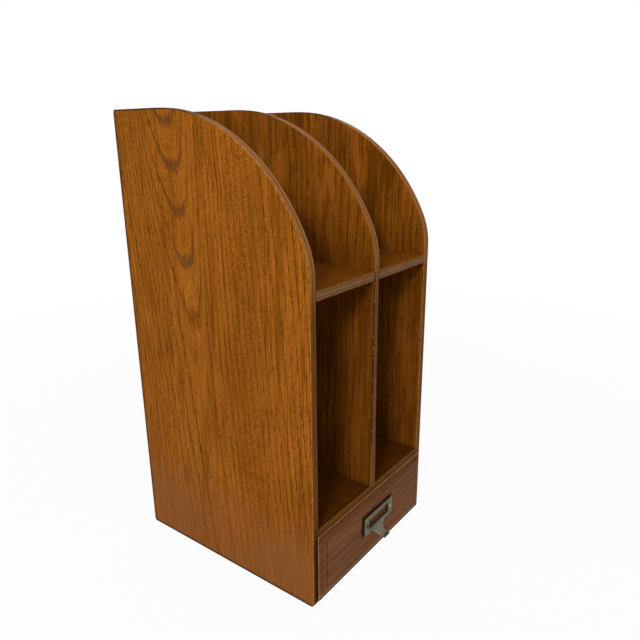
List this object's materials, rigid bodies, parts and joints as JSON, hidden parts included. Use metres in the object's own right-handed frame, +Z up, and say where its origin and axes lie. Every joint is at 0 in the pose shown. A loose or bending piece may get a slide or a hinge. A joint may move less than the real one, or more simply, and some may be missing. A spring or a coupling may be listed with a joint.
{
  "type": "envelope sorter with drawer",
  "caption": "Upright plywood envelope sorter with arched sides and divider, a shelf across each bay, and a lipped drawer with a brass card frame and finger pull below.",
  "frame": {"origin": "on the floor, in the middle of the footprint of the two sides, on the underside of the bottom board", "axes": "+Z up, +X to the right seen from the front, +Y towards the back panel; the drawer opens along -Y"},
  "size_m": [0.218, 0.2689, 0.485],
  "materials": {
    "stained_plywood": "oak veneer, golden-brown stain, satin varnish, worn edges",
    "stained_front": "solid wood, red-brown stain, satin varnish",
    "bare_wood": "unstained, lightly sanded",
    "patinated_brass": "dull green-grey patina, brighter on worn edges",
    "steel_pins": "dull, set below the surface"
  },
  "bodies": {
    "carcase": {"left_side": "stained_plywood", "right_side": "stained_plywood", "divider": "stained_plywood", "back_panel": "stained_plywood", "left_shelf": "stained_plywood", "right_shelf": "stained_plywood", "deck": "stained_plywood", "bottom_board": "stained_plywood", "left_side_pins": "steel_pins", "right_side_pins": "steel_pins", "divider_pins": "steel_pins", "back_pins": "steel_pins"},
    "drawer": {"drawer_front": "stained_front", "drawer_left_side": "bare_wood", "drawer_right_side": "bare_wood", "drawer_back": "bare_wood", "drawer_bottom": "bare_wood", "drawer_side_pins": "steel_pins", "drawer_bottom_pins": "steel_pins", "label_pull": "patinated_brass", "pull_pins": "patinated_brass"}
  },
  "joints": [
    {"name": "drawer_slide", "type": "slide", "parent": "carcase", "child": "drawer", "axis": [0, -1, 0], "range_m": [0, 0.19]}
  ]
}
